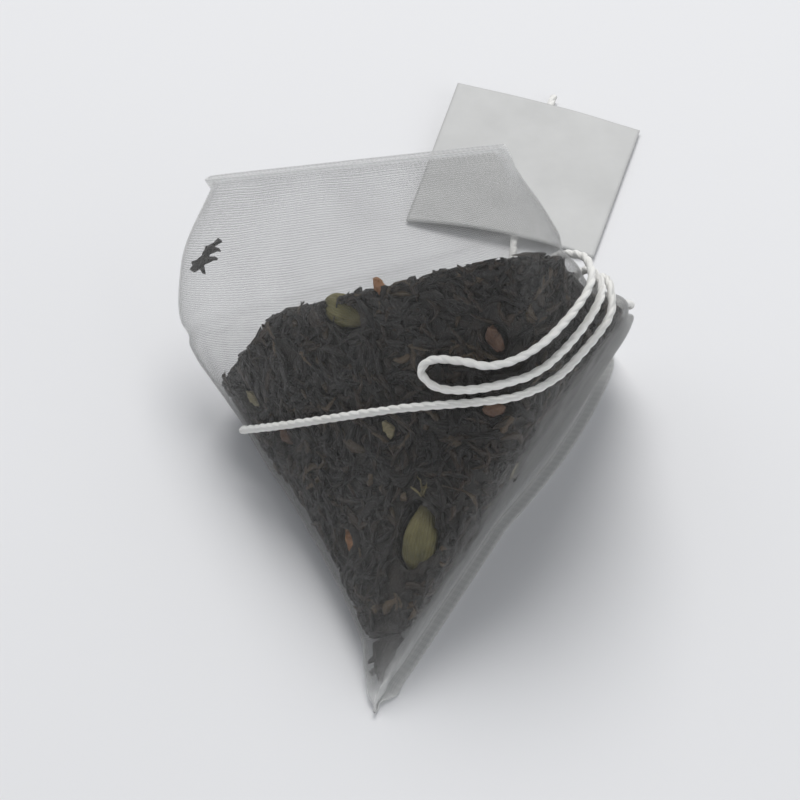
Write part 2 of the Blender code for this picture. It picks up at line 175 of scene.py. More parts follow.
# The film's section at this share of the way from the bottom weld to the top one
def ringOf(share, count):
    low, peak = place(film["low"]), place(film["peak"])
    under = smoothLine(lineStations(film["under"], low), share)
    crest = smoothLine(lineStations(film["crest"], peak), share)
    across = unit(sealAlong * (1 - share) + unit(np.array(film["flapNormal"])) * share)
    if share == 0:
        along, halfAlong = np.array([0.0, 0.0, 1.0]), film["weldHeight"] / 2
    elif share == 1:
        drop = weldUpward * film["weld"]
        under, crest = low - drop, peak - drop
        along, halfAlong = topAlong, np.linalg.norm(crest - under) / 2
    else:
        along = unit(crest - under)
        halfAlong = max(np.linalg.norm(crest - under) / 2, film["weldHeight"] / 2)
    flap = min(max((share - film["flapStarts"]) / (film["flapEnds"] - film["flapStarts"]), 0), 1)
    flap = flap * flap * (3 - 2 * flap)
    end = abs(2 * share - 1) ** 6
    powers = [a + (b - a) * flap for a, b in zip(film["fullQuarters"], film["flapQuarters"])]
    powers = [a + (film["weldQuarters"] - a) * end for a in powers]
    narrow, wide = film["weldHeight"] / 2, film["tube"] / 2
    for _ in range(film["girthTries"]):
        middle = (narrow + wide) / 2
        if sectionOf(middle, halfAlong, powers, film["girthPoints"])[1] > 2 * film["tube"]:
            wide = middle
        else:
            narrow = middle
    if share == 0:
        narrow = np.linalg.norm(place(film["rear"]) - place(film["tip"])) / 2
    points, _ = sectionOf(narrow, halfAlong, powers, count)
    bow = max(1 - share / film["bowEnds"], 0) ** 2 * film["bow"] * film["tube"]
    wave = np.maximum(0, -np.sin(math.pi * (points[:, 0] / narrow + 1)))
    middle = (under + crest) / 2
    ring = middle + points[:, :1] * across + points[:, 1:] * along
    ring = ring - weldInward * (bow * wave)[:, None]
    swell = film["swell"] * math.exp(-(((share - film["swellPlace"][0]) / film["swellSpread"][0]) ** 2))
    around = np.arange(len(ring)) / len(ring)
    push = swell * np.exp(-(((around - film["swellPlace"][1]) / film["swellSpread"][1]) ** 2))
    outward = ring - middle
    ring = ring + outward / np.linalg.norm(outward, axis=1)[:, None] * push[:, None]
    ring[:, 2] = np.maximum(ring[:, 2], 0)
    return ring


# The part's own places are counted from the bag's tip, and the frame from under the pouch
def shiftOfPart():
    rings = [ringOf(share, film["girthPoints"]) for share in film["partShares"]]
    rings.append(rings[0] - weldInward * film["weld"])
    rings.append(rings[-2] + weldUpward * film["weld"])
    points = np.concatenate(rings)
    low, high = points.min(axis=0), points.max(axis=0)
    return Vector((-(low[0] + high[0]) / 2, -(low[1] + high[1]) / 2, -low[2]))


shift = shiftOfPart()
film["weldHeight"] = film["filmWeldHeight"]
say("shift %.2f %.2f %.2f mm" % tuple(shift / mm))

# Camera, floor and lights
view = {
    "target": (1.9, 30.0, 15.7),    # millimetres from the bag's tip
    "elevation": 46.0,
    "distance": 440 * mm,
    "window": 400 / 4.8 * mm,
}
stageSet = {
    "floor": (0.80, 0.80, 0.81),
    "world": (0.93, 0.96, 1.0),
    "worldStrength": 0.46,
    "lights": {
        "key": {"at": (0.02, 0.26, 0.60), "size": 0.42, "power": 2.55, "color": (1.0, 0.99, 0.98)},
        "fill": {"at": (0.45, -0.35, 0.40), "size": 0.50, "power": 0.45, "color": (0.96, 0.98, 1.0)},
    },
}


def addLight(name, light, aim):
    data = bpy.data.lights.new(name, "AREA")
    data.shape = "DISK"
    data.size, data.energy, data.color = light["size"], light["power"], light["color"]
    lamp = bpy.data.objects.new(name, data)
    lamp.location = light["at"]
    lamp.rotation_euler = (aim - Vector(light["at"])).to_track_quat("-Z", "Y").to_euler()
    bpy.context.scene.collection.objects.link(lamp)


def makeStage():
    scene = bpy.context.scene
    target = Vector(view["target"]) * mm + shift
    tilt = math.radians(view["elevation"])
    data = bpy.data.cameras.new("camera")
    data.sensor_width = 36.0
    data.lens = 36.0 * view["distance"] / view["window"]
    data.clip_start, data.clip_end = 0.01, 20.0
    camera = bpy.data.objects.new("camera", data)
    camera.location = target + Vector((0, -math.cos(tilt), math.sin(tilt))) * view["distance"]
    camera.rotation_euler = (target - camera.location).to_track_quat("-Z", "Y").to_euler()
    scene.collection.objects.link(camera)
    scene.camera = camera

    bm = bmesh.new()
    bmesh.ops.create_grid(bm, x_segments=1, y_segments=1, size=3.0)
    mesh = bpy.data.meshes.new("floor")
    bm.to_mesh(mesh)
    bm.free()
    floor = bpy.data.objects.new("floor", mesh)
    floor.location.z = cadBox[0][2] - 0.02 * mm
    scene.collection.objects.link(floor)
    material = bpy.data.materials.new("floor")
    material.use_nodes = True
    shader = material.node_tree.nodes["Principled BSDF"]
    shader.inputs["Base Color"].default_value = (*stageSet["floor"], 1)
    shader.inputs["Roughness"].default_value = 0.75
    shader.inputs["Specular IOR Level"].default_value = 0.2
    mesh.materials.append(material)

    world = bpy.data.worlds.new("world")
    world.use_nodes = True
    background = world.node_tree.nodes["Background"]
    background.inputs["Color"].default_value = (*stageSet["world"], 1)
    background.inputs["Strength"].default_value = stageSet["worldStrength"]
    scene.world = world
    for name, light in stageSet["lights"].items():
        addLight(name, light, target)
    scene.view_settings.view_transform = "Standard"
    scene.view_settings.look = "None"


makeStage()
say("stage")


# Node helpers
def newMaterial(name):
    material = bpy.data.materials.new(name)
    material.use_nodes = True
    tree = material.node_tree
    return material, tree, tree.nodes["Principled BSDF"]


def node(tree, kind, inputs=None, **settings):
    made = tree.nodes.new(kind)
    for key, value in settings.items():
        setattr(made, key, value)
    for key, value in (inputs or {}).items():
        if isinstance(value, bpy.types.NodeSocket):
            tree.links.new(value, made.inputs[key])
        else:
            made.inputs[key].default_value = value
    return made


def maths(tree, operation, *values, clamp=False):
    made = node(tree, "ShaderNodeMath", operation=operation, use_clamp=clamp)
    for i, value in enumerate(values):
        if isinstance(value, bpy.types.NodeSocket):
            tree.links.new(value, made.inputs[i])
        else:
            made.inputs[i].default_value = value
    return made.outputs[0]


def mixColor(tree, share, low, high):
    made = node(tree, "ShaderNodeMix", data_type="RGBA")
    for key, value in ((0, share), (6, low), (7, high)):
        if isinstance(value, bpy.types.NodeSocket):
            tree.links.new(value, made.inputs[key])
        elif key == 0:
            made.inputs[key].default_value = value
        else:
            made.inputs[key].default_value = (*value, 1)
    return made.outputs[2]


def ramp(tree, factor, *stops):
    made = node(tree, "ShaderNodeValToRGB", {"Fac": factor})
    elements = made.color_ramp.elements
    while len(elements) < len(stops):
        elements.new(0.5)
    for element, (at, color) in zip(elements, stops):
        element.position = at
        element.color = (*color, 1)
    return made.outputs["Color"]


def noiseAt(tree, coords, scale, detail=3.0, roughness=0.55, distortion=0.0):
    made = node(
        tree, "ShaderNodeTexNoise",
        {"Vector": coords, "Scale": scale, "Detail": detail, "Roughness": roughness,
         "Distortion": distortion},
    )
    return made.outputs["Fac"]


def bump(tree, height, strength, distance):
    return node(
        tree, "ShaderNodeBump", {"Height": height, "Strength": strength, "Distance": distance}
    ).outputs["Normal"]


def objectCoords(tree):
    return node(tree, "ShaderNodeTexCoord").outputs["Object"]


def addPiece(name, mesh, material, slot, *replaced):
    mesh.materials.append(material)
    piece = bpy.data.objects.new(name, mesh)
    bpy.context.scene.collection.objects.link(piece)
    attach(piece, "root")
    if replaced:
        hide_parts(*replaced)
    return piece


def meshOf(name, points, faces):
    mesh = bpy.data.meshes.new(name)
    mesh.from_pydata([tuple(point) for point in points], [], [tuple(face) for face in faces])
    mesh.shade_smooth()
    return mesh


# Quads through a grid of rings, and a cap at each end
def tubeFaces(rings, around, first=0):
    i, j = np.meshgrid(np.arange(rings - 1), np.arange(around), indexing="ij")
    k = (j + 1) % around
    quads = np.stack([i * around + j, i * around + k, (i + 1) * around + k, (i + 1) * around + j],
                     axis=-1).reshape(-1, 4)
    last = first + (rings - 1) * around
    caps = [range(first, first + around)[::-1], range(last, last + around)]
    return [tuple(first + quad) for quad in quads] + [tuple(cap) for cap in caps]


# The string: two plies twisted round each other along the route
string = {
    "diameter": 0.9 * mm,
    "ply": 0.355 * mm,
    "offset": 0.095 * mm,
    "pitch": 2.8 * mm,
    "step": 0.15 * mm,
    "sides": 10,
    "uneven": 0.05,
    "unevenSpots": 90,
    "strandTwist": (5.2, 5.0),
    "fluffScale": 5200.0,
    "soilScale": 260.0,
    "worn": (0.86, 0.85, 0.81),
    "paler": (0.95, 0.94, 0.91),
    "shade": (0.66, 0.64, 0.60),
    "route": [    # millimetres from the bag's tip, chosen one by one
        (-14.8, 33.3, 7.7), (-9.7, 27.8, 14.3), (2.0, 20.7, 24.1), (10.2, 18.3, 27.6),
        (13.8, 18.7, 28.0), (17.4, 21.2, 27.8), (20.5, 25.2, 27.8), (23.3, 29.1, 29.3),
        (23.2, 32.4, 30.5), (22.1, 35.8, 27.8), (22.6, 39.4, 22.4), (24.5, 43.1, 17.1),
        (26.2, 45.3, 14.7), (26.6, 47.3, 12.4), (25.2, 48.4, 11.1), (23.4, 47.4, 11.9),
        (22.3, 44.8, 15.1), (20.9, 41.2, 19.7), (20.0, 36.4, 27.4),
        (21.4, 33.3, 31.4), (22.4, 30.2, 31.9), (21.3, 27.0, 31.3), (18.5, 23.0, 30.4),
        (15.5, 20.2, 29.8), (11.6, 18.9, 29.3), (8.0, 19.2, 28.3), (5.4, 20.4, 27.6),
        (4.0, 21.5, 28.5), (4.9, 21.8, 29.9), (7.6, 20.8, 30.9), (11.2, 19.7, 31.3),
        (15.0, 20.7, 32.3), (18.6, 24.1, 33.4), (21.1, 28.0, 34.8), (20.6, 31.4, 35.0),
        (17.8, 34.8, 31.8), (16.6, 39.9, 22.2), (17.3, 46.0, 12.9), (17.4, 51.6, 5.2),
        (16.4, 56.4, 1.3), (14.6, 63.5, 0.75), (16.2, 80.6, 0.75), (19.9, 93.8, 0.75),
    ],
}


def stringPath():
    route = [np.array(point) * mm for point in string["route"]]
    run = [0.0]
    for low, high in zip(route, route[1:]):
        run.append(run[-1] + np.linalg.norm(high - low))
    stations = list(zip(run, route))
    count = int(run[-1] / string["step"])
    path = np.array([smoothLine(stations, run[-1] * i / count) for i in range(count + 1)])
    return path + np.array(shift)


# Two directions across the path at each point, carried along without spin
def framesAlong(path):
    ahead = unitRows(np.gradient(path, axis=0))
    across = np.zeros_like(path)
    last = unit(np.cross(ahead[0], np.array([0.0, 0.0, 1.0])))
    for i in range(len(path)):
        last = unit(last - ahead[i] * np.dot(last, ahead[i]))
        across[i] = last
    return across, np.cross(ahead, across)


def makeString(tag):
    path = stringPath()
    across, upward = framesAlong(path)
    steps = np.linalg.norm(np.diff(path, axis=0), axis=1)
    run = np.concatenate([[0], np.cumsum(steps)])
    sides = string["sides"]
    turns = np.linspace(0, 2 * math.pi, sides, endpoint=False)
    rng = np.random.default_rng(11)
    points, faces, spins = [], [], []
    for ply in (0, 1):
        spin = 2 * math.pi * run / string["pitch"] + math.pi * ply
        spots = np.linspace(0, run[-1], string["unevenSpots"])
        wobble = 1 + string["uneven"] * np.interp(run, spots, rng.normal(size=len(spots)))
        middle = path + string["offset"] * (
            np.cos(spin)[:, None] * across + np.sin(spin)[:, None] * upward
        )
        radius = string["ply"] * wobble
        grid = (
            middle[:, None, :]
            + radius[:, None, None] * np.cos(turns)[None, :, None] * across[:, None, :]
            + radius[:, None, None] * np.sin(turns)[None, :, None] * upward[:, None, :]
        )
        base = sum(len(block) for block in points)
        points.append(grid.reshape(-1, 3))
        faces += tubeFaces(len(path), sides, base)
        spins.append(np.stack([np.repeat(run, sides) / mm,
                               (turns[None, :] - spin[:, None]).reshape(-1)], axis=1))
    mesh = meshOf("cottonString", np.concatenate(points), faces)
    fibre = mesh.attributes.new("fibre", "FLOAT2", "POINT")
    fibre.data.foreach_set("vector", np.concatenate(spins).astype(np.float32).reshape(-1))

    material, tree, shader = newMaterial("cottonString")
    coords = objectCoords(tree)
    twist = node(tree, "ShaderNodeAttribute", attribute_name="fibre").outputs["Vector"]
    parts = node(tree, "ShaderNodeSeparateXYZ", {"Vector": twist})
    along = maths(tree, "MULTIPLY", parts.outputs["X"], string["strandTwist"][0])
    about = maths(tree, "MULTIPLY", parts.outputs["Y"], string["strandTwist"][1])
    strand = maths(tree, "SINE", maths(tree, "ADD", along, about))
    fluff = noiseAt(tree, coords, string["fluffScale"], 4.0, 0.7)
    height = maths(tree, "ADD", maths(tree, "MULTIPLY", strand, 0.3), fluff)
    soil = noiseAt(tree, coords, string["soilScale"], 2.0)
    color = ramp(tree, soil, (0.3, string["worn"]), (0.65, string["paler"]))
    color = mixColor(tree, maths(tree, "MULTIPLY", fluff, 0.25), color, string["shade"])
    tree.links.new(color, shader.inputs["Base Color"])
    tree.links.new(bump(tree, height, 0.8, 0.05 * mm), shader.inputs["Normal"])
    shader.inputs["Roughness"].default_value = 0.9
    shader.inputs["Sheen Weight"].default_value = 0.25
    piece = addPiece("cottonString", mesh, material, "cotton", "string")
    length = float(run[-1])
    say("string %.1f mm" % (length / mm))


# The tag: one sheet of paper, arched over the string that runs under it
tagSet = {
    "side": 22.0 * mm,
    "thick": 0.28 * mm,
    "clear": 0.3 * mm,
    "arch": 1.2 * mm,
    "curl": 2.0 * mm,
    "flattened": 0.4,
    "middle": (16.2 * mm, 80.6 * mm),
    "turn": -16.0,
    "cuts": 56,
    "waveLength": 9 * mm,
    "waveHeight": 0.12 * mm,
    "pulpScale": 900.0,
    "cloudScale": 180.0,
    # Both paper tones are grey, far darker than white paper: painted shade, as if the tag lay in shade
    "cloudyShaded": (0.56, 0.56, 0.55),
    "paler": (0.62, 0.62, 0.61),
}


def makeTag():
    bm = bmesh.new()
    cuts, side = tagSet["cuts"], tagSet["side"]
    bmesh.ops.create_grid(bm, x_segments=cuts, y_segments=cuts, size=side / 2)
    turn = Matrix.Translation((*tagSet["middle"], 0)) @ Matrix.Rotation(
        math.radians(tagSet["turn"]), 4, "Z")
    for vert in bm.verts:
        left, far = 0.5 - vert.co.x / side, 0.5 + vert.co.y / side
        arch = 1 - (2 * left - 1) ** 2
        arch *= tagSet["arch"] - far * tagSet["curl"] * tagSet["flattened"]
        wave = abs(noise.noise(vert.co / tagSet["waveLength"])) * tagSet["waveHeight"]
        vert.co.z = tagSet["thick"] + tagSet["clear"] + arch + left * far * tagSet["curl"] + wave
    bmesh.ops.transform(bm, matrix=Matrix.Translation(shift) @ turn, verts=bm.verts)
    bmesh.ops.solidify(bm, geom=list(bm.faces), thickness=tagSet["thick"])
    bmesh.ops.recalc_face_normals(bm, faces=bm.faces)
    mesh = bpy.data.meshes.new("paperTag")
    bm.to_mesh(mesh)
    bm.free()
    mesh.shade_smooth()
    material, tree, shader = newMaterial("paperTag")
    coords = objectCoords(tree)
    pulp = noiseAt(tree, coords, tagSet["pulpScale"], 5.0, 0.65)
    cloud = noiseAt(tree, coords, tagSet["cloudScale"], 3.0)
    # Paper clouding between the two tones; the grey of both tones is painted shade
    color = ramp(tree, cloud, (0.3, tagSet["cloudyShaded"]), (0.7, tagSet["paler"]))
    tree.links.new(color, shader.inputs["Base Color"])
    tree.links.new(bump(tree, pulp, 0.25, 0.05 * mm), shader.inputs["Normal"])
    shader.inputs["Roughness"].default_value = 0.82
    return addPiece("paperTag", mesh, material, "paper", "tag")


makeString(makeTag())
say("tag")


# The film: one tube of sheer weave, flattened into a weld at each end
weave = {
    "pitch": 0.24,    # millimetres
    "hole": 0.012,
    "thread": 0.115,
    # fold and crease: painted highlights, paler and more opaque film along the folds and along the
    # crease above the tea
    "fold": 0.22,
    "seal": 0.03,
    "rim": 0.55,
    "color": (0.38, 0.38, 0.37),
    # bright: the white that the welds, the painted highlights and the painted light turn the film
    # towards
    "bright": (0.90, 0.90, 0.89),
    "through": 0.45,
    "leastDepth": 0.13,
    "creaseHighlight": 0.35,
    # painted light: a paler band along the bottom weld, fading over bottomReach millimetres
    "bottomPaintedLight": 0.7,
    "bottomReach": 3.2,
    "foldGain": 1.1,
    "foldLeast": 0.12,
    "sharpness": 1.6,
    "waver": 0.5,
    "waverScale": 90.0,
    "unevenScale": 130.0,
    "dotPitch": 0.9,
    "dots": 0.03,
    "sealEdge": 0.05,
    "rimWidth": 0.45,
}
# Depths and distances in millimetres
dents = {
    "teaTop": {"at": (0.095, 0.578, 0.477), "normal": (-0.122, 0.779, 0.615)},
    "flatEnds": 0.08,
    "softAbove": 4,
    "wide": 8.0,
    "wideDepth": 0.45,
    "small": 2.6,
    "smallDepth": 0.22,
    "dentHeight": 1.0,
    "dentSpread": 0.9,
    "dentDepth": 0.55,
    "creaseHeight": 1.3,
    "creaseSpread": 0.35,
    "crumpleGrain": 2.2 * mm,
    "crumpleLeast": 0.02,
}


# The film's points, each with its place on the flat film in millimetres and its fold mark, which sets
# the highlight painted along the folds
def filmGrid():
    around = film["around"]
    shares = np.linspace(0, 1, film["rings"])
    shares = shares - film["ringsNearEnds"] * np.sin(2 * math.pi * shares)
    grid = [ringOf(float(share), around) for share in shares]
    fin = np.linspace(1, 0, film["finRings"] + 1)[:-1]
    reach = (grid[0] - grid[0].mean(axis=0)) @ sealAlong
    rounded = (1 - np.abs(reach / np.abs(reach).max()) ** film["finEnds"])[:, None]
    first = [grid[0] - weldInward * film["weld"] * part * rounded for part in fin]
    last = [grid[-1] + weldUpward * film["weld"] * part for part in fin[::-1]]
    grid = np.array(first + grid + last)
    steps = np.linalg.norm(np.diff(np.concatenate([grid, grid[:, :1]], axis=1), axis=1), axis=2)
    run = np.concatenate([np.zeros((len(grid), 1)), np.cumsum(steps, axis=1)[:, :-1]], axis=1)
    girth = steps.sum(axis=1, keepdims=True)
    u = run / girth * 2 * film["tube"] / mm
    rows = np.linalg.norm(np.diff(grid, axis=0), axis=2).mean(axis=1)
    v = np.concatenate([[0], np.cumsum(rows)]) / mm
    v = np.repeat(v[:, None], around, axis=1)
    ahead = np.roll(grid, -2, axis=1) - grid
    behind = grid - np.roll(grid, 2, axis=1)
    cosine = (ahead * behind).sum(axis=2) / (
        np.linalg.norm(ahead, axis=2) * np.linalg.norm(behind, axis=2) + 1e-12)
    bend = np.arccos(cosine.clip(-1, 1))
    spread = sum(np.roll(bend, k, axis=1) for k in range(-2, 3)) / 5
    return grid, u, v, np.clip(spread * weave["foldGain"] - weave["foldLeast"], 0, 1)


def normalsOf(grid):
    along = np.gradient(grid, axis=0)
    across = np.roll(grid, -1, axis=1) - np.roll(grid, 1, axis=1)
    normal = np.cross(across, along)
    normal /= np.linalg.norm(normal, axis=2)[:, :, None] + 1e-12
    middle = grid.mean(axis=1, keepdims=True)
    facing = np.sign((normal * (grid - middle)).sum(axis=2).mean())
    return normal * facing


def filmMaterial():
    material, tree, shader = newMaterial("sheerFilm")
    flat = node(tree, "ShaderNodeUVMap", uv_map="flat").outputs["UV"]
    parts = node(tree, "ShaderNodeSeparateXYZ", {"Vector": flat})
    coords = objectCoords(tree)
    waver = maths(tree, "MULTIPLY", noiseAt(tree, coords, weave["waverScale"], 2.0), weave["waver"])

    def thread(axis):
        turn = maths(tree, "MULTIPLY", maths(tree, "ADD", parts.outputs[axis], waver),
                     2 * math.pi / weave["pitch"])
        wave = maths(tree, "MULTIPLY_ADD", maths(tree, "SINE", turn), 0.5, 0.5)
        return maths(tree, "POWER", wave, weave["sharpness"])

    warp, weft = thread("X"), thread("Y")
    mask = maths(tree, "MAXIMUM", warp, weft)
    marks = node(tree, "ShaderNodeAttribute", attribute_name="marks").outputs["Color"]
    split = node(tree, "ShaderNodeSeparateColor", {"Color": marks})
    fold, seal, rim = (split.outputs[key] for key in ("Red", "Green", "Blue"))
    dots = maths(tree, "SINE", maths(tree, "MULTIPLY", parts.outputs["X"],
                                     2 * math.pi / weave["dotPitch"]))
    dotted = maths(tree, "MULTIPLY_ADD", dots, weave["dots"], weave["seal"])
    sealed = maths(tree, "MULTIPLY", seal, dotted)
    rimmed = maths(tree, "MULTIPLY", rim, weave["rim"])
    uneven = noiseAt(tree, coords, weave["unevenScale"], 3.0)
    thick = maths(tree, "MULTIPLY_ADD", uneven, 0.5, 0.75)
    alpha = maths(tree, "MULTIPLY_ADD", mask, weave["thread"] - weave["hole"], weave["hole"])
    alpha = maths(tree, "MULTIPLY", alpha, thick)
    # Paler and more opaque: painted highlights along the folds and the crease, painted light by the
    # bottom weld, the paler cut edges and the welds' own denser film
    pale = maths(tree, "ADD", maths(tree, "MULTIPLY", fold, weave["fold"]),
                 maths(tree, "ADD", sealed, rimmed))
    # Threads hide more of what is behind them where the film is seen at a slant
    aslant = node(tree, "ShaderNodeLayerWeight", {"Blend": 0.5}).outputs["Facing"]
    depth = maths(tree, "MAXIMUM", maths(tree, "SUBTRACT", 1.0, aslant), weave["leastDepth"])
    alpha = maths(tree, "DIVIDE", alpha, depth, clamp=True)
    alpha = maths(tree, "ADD", alpha, pale, clamp=True)
    color = mixColor(tree, maths(tree, "MULTIPLY", pale, 4.0, clamp=True), weave["color"],
                     weave["bright"])
    tree.links.new(color, shader.inputs["Base Color"])
    shader.inputs["Roughness"].default_value = 0.4
    shader.inputs["Specular IOR Level"].default_value = 0.5
    shader.inputs["Sheen Weight"].default_value = 0.4
    shader.inputs["Sheen Roughness"].default_value = 0.35
    ridges = bump(tree, mask, 0.5, 0.03 * mm)
    tree.links.new(ridges, shader.inputs["Normal"])
    through = node(tree, "ShaderNodeBsdfTranslucent", {"Color": color, "Normal": ridges})
    nylon = node(tree, "ShaderNodeMixShader", {0: weave["through"], 1: shader.outputs["BSDF"],
                                               2: through.outputs["BSDF"]})
    clear = node(tree, "ShaderNodeBsdfTransparent")
    both = node(tree, "ShaderNodeMixShader", {0: alpha, 1: clear.outputs["BSDF"],
                                              2: nylon.outputs["Shader"]})
    out = tree.nodes["Material Output"]
    tree.links.new(both.outputs["Shader"], out.inputs["Surface"])
    return material


# Soft dents in the film, and the band along the crease above the tea where a highlight is painted
def wrinkled(grid, normal):
    rows, around = grid.shape[:2]
    top, topNormal = place(dents["teaTop"]["at"]), unit(np.array(dents["teaTop"]["normal"]))
    above = ((grid - top) @ topNormal) / mm
    rise = np.clip(above, 0, None)
    shares = np.linspace(0, 1, rows)[:, None]
    ends = np.clip(np.minimum(shares, 1 - shares) / dents["flatEnds"], 0, 1)
    depth = np.zeros((rows, around))
    seed, fine = Vector((4.2, 0.4, 8.8)), Vector((1.2, 9.4, 2.8))
    for i in range(rows):
        for j in range(around):
            at = Vector(grid[i, j]) / mm
            wide = 0.5 + 0.5 * noise.noise(at / dents["wide"] + seed)
            small = 0.5 + 0.5 * noise.noise(at / dents["small"] + fine)
            soft = min(rise[i, j] / dents["softAbove"], 1)
            depth[i, j] = (0.5 + 0.5 * soft) * wide * dents["wideDepth"]
            depth[i, j] += (1 - soft) * small * dents["smallDepth"]
    dent = np.exp(-(((above - dents["dentHeight"]) / dents["dentSpread"]) ** 2)) * dents["dentDepth"]
    depth = (depth + dent) * ends * mm
    near = np.exp(-((np.linalg.norm(grid - place(film["tip"]), axis=2) / film["crumpleReach"]) ** 2))
    for i, j in zip(*np.nonzero(near > dents["crumpleLeast"])):
        at = Vector(grid[i, j]) / dents["crumpleGrain"] + seed
        push = np.array([noise.noise(at + Vector((0, 0, 9.7 * k))) for k in range(3)])
        grid[i, j] += np.array([push[0], push[1], abs(push[2])]) * film["crumple"] * near[i, j]
    creaseHighlight = np.exp(-(((above - dents["creaseHeight"]) / dents["creaseSpread"]) ** 2)) * ends
    return grid - normal * depth[:, :, None], creaseHighlight


def makeFilm():
    grid, u, v, fold = filmGrid()
    grid, creaseHighlight = wrinkled(grid, normalsOf(grid))
    grid[:, :, 2] = np.maximum(grid[:, :, 2], 0)
    rows, around = grid.shape[:2]
    girth = 2 * film["tube"] / mm
    bm = bmesh.new()
    flat = bm.loops.layers.uv.new("flat")
    marks = bm.verts.layers.float_color.new("marks")
    verts = [[bm.verts.new(Vector(grid[i, j]) + shift) for j in range(around)] for i in range(rows)]
    bottom, top = v[film["finRings"], 0], v[-1 - film["finRings"], 0]
    for i in range(rows):
        at = v[i, 0]
        seal = 1.0 if at < bottom + weave["sealEdge"] or at > top - weave["sealEdge"] else 0.0
        # Painted light: the film just above the bottom weld is marked paler, fading upwards; it shares
        # its mark with the paler cut edges
        paintedLight = weave["bottomPaintedLight"] * math.exp(-max(at - bottom, 0) / weave["bottomReach"])
        rim = max(0.0, 1 - min(at, v[-1, 0] - at) / weave["rimWidth"], paintedLight)
        for j in range(around):
            # Painted highlights along the folds and along the crease above the tea
            pale = min(fold[i, j] + creaseHighlight[i, j] * weave["creaseHighlight"], 1)
            verts[i][j][marks] = (pale, seal, rim, 1)
    for i in range(rows - 1):
        for j in range(around):
            k = (j + 1) % around
            face = bm.faces.new((verts[i][j], verts[i][k], verts[i + 1][k], verts[i + 1][j]))
            right, rightUp = (u[i, k], u[i + 1, k]) if k else (girth, girth)
            spots = ((u[i, j], v[i, j]), (right, v[i, k]),
                     (rightUp, v[i + 1, k]), (u[i + 1, j], v[i + 1, j]))
            for loop, spot in zip(face.loops, spots):
                loop[flat].uv = spot
            face.smooth = True
    bmesh.ops.recalc_face_normals(bm, faces=bm.faces)
    middle = Vector(grid.mean(axis=(0, 1))) + shift
    if sum(face.normal.dot(face.calc_center_median() - middle) for face in bm.faces) < 0:
        bmesh.ops.reverse_faces(bm, faces=bm.faces)
    surface = BVHTree.FromBMesh(bm)
    mesh = bpy.data.meshes.new("sheerFilm")
    bm.to_mesh(mesh)
    bm.free()
    piece = addPiece("sheerFilm", mesh, filmMaterial(), "mesh", "mesh_pouch")
    wall = piece.modifiers.new("wall", "SOLIDIFY")
    wall.thickness = film["wall"]
    wall.offset = -1
    return surface


filmSurface = makeFilm()
say("film")


# The tea: a dark core under thousands of twisted leaves
tea = {
    "leaves": 5200,
    "rings": 5,
    "length": (1.4, 4.4),    # lengths and widths in millimetres
    "width": (0.45, 1.25),
    "room": 0.42 * mm,
    "proud": 0.45 * mm,
    "bladesInLeaf": 9,
    "tipAhead": (0.12, 0.62, 0.34),
    "tipEmpty": 8.6 * mm,
    "shown": ("cardamom_pod_front", "cardamom_pod_rear", "peel", "root", "hull", "husk"),
    "around": 0.1 * mm,
    "clearSteps": (0.0, 0.5, 1.0, 1.5),    # towards the film, in millimetres
    "floor": 0.2 * mm,
    "seed": 5,
    "tilt": 0.12,
    "lengths": (0.7, 1.0, 1.35),
    "sunk": (-0.25, 0.55),
    "prouds": (0.4, 1.0, 1.7),
    "proudShares": (0.6, 0.35, 0.05),
    "thick": (0.35, 0.8),
    "bendAside": 0.22,
    "bendOut": 0.16,
    "bendMiddle": 0.3,
    "twist": 1.6,
    "taper": 0.5,
    "lumps": (0.75, 1.15),
    "brownFrom": 0.70,
    "tanFrom": 0.94,
    "grainScale": 1500.0,
    "coreScale": 500.0,
    "dark": (0.013, 0.009, 0.007),
    "brown": (0.045, 0.026, 0.014),
    "tan": (0.13, 0.088, 0.048),
    "coreDark": (0.010, 0.007, 0.005),
    "corePale": (0.032, 0.020, 0.013),
    "dust": (0.006, 0.004, 0.003),
}


# Random places on a node's surface, with its normals there
def surfaceSamples(name, count, rng):
    mesh = nodes[name].data
    mesh.calc_loop_triangles()
    points = np.array([vert.co for vert in mesh.vertices])
    corners = np.array([tri.vertices for tri in mesh.loop_triangles])
    a, b, c = points[corners[:, 0]], points[corners[:, 1]], points[corners[:, 2]]
    normal = np.cross(b - a, c - a)
    area = np.linalg.norm(normal, axis=1)
    pick = rng.choice(len(area), size=count, p=area / area.sum())
    s, t = rng.random(count), rng.random(count)
    flip = s + t > 1
    s[flip], t[flip] = 1 - s[flip], 1 - t[flip]
    at = a[pick] + (b - a)[pick] * s[:, None] + (c - a)[pick] * t[:, None]
    return at, normal[pick] / (area[pick][:, None] + 1e-15)


# Points outside the film, or too near it, come back in
def insideFilm(points, room):
    moved = points.copy()
    for i, point in enumerate(points):
        nearest, normal, _, _ = filmSurface.find_nearest(Vector(point))
        depth = (nearest - Vector(point)).dot(normal)
        if depth < room:
            moved[i] = np.array(Vector(point) - normal * (room - depth))
    return moved


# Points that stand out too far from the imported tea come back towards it
def nearTea(points, proud):
    bm = bmesh.new()
    bm.from_mesh(nodes["tea_fill"].data)
    solid = BVHTree.FromBMesh(bm)
    bm.free()
    moved = points.copy()
    for i, point in enumerate(points):
        nearest, normal, _, _ = solid.find_nearest(Vector(point))
        away = Vector(point) - nearest
        if away.length > proud[i] and away.dot(normal) > -0.9 * away.length:
            moved[i] = np.array(nearest + away.normalized() * proud[i])
    return moved


